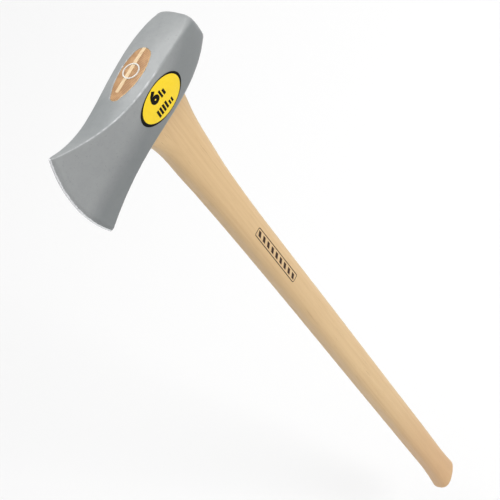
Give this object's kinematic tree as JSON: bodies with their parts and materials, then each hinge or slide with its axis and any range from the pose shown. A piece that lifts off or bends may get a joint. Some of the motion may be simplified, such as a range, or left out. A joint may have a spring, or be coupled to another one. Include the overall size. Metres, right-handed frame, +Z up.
{
  "type": "splitting maul",
  "caption": "Long-handled splitting maul: a forged steel head with a flared wedge bit and a flat striking poll on a straight wooden handle.",
  "frame": {"origin": "on the handle's axis, in the plane of the head's underside where it meets the handle", "axes": "+Z up the handle to the head, -X towards the splitting bit, +X towards the flat poll, -Y out of the cheek that carries the weight label"},
  "size_m": [0.206, 0.0527, 0.9177],
  "materials": {
    "head_paint": "satin grey paint over forged steel, bright ground cutting edge",
    "hickory": "clear satin lacquer over straight-grained hickory",
    "wedge_wood": "raw pale hardwood",
    "ring_steel": "bright bare steel",
    "label_film": "printed vinyl film, yellow oval on a black oval"
  },
  "bodies": {
    "root": {"maul_head": "head_paint", "handle": "hickory", "wood_wedge": "wedge_wood", "ring_wedge": "ring_steel", "weight_label": "label_film"}
  },
  "joints": []
}
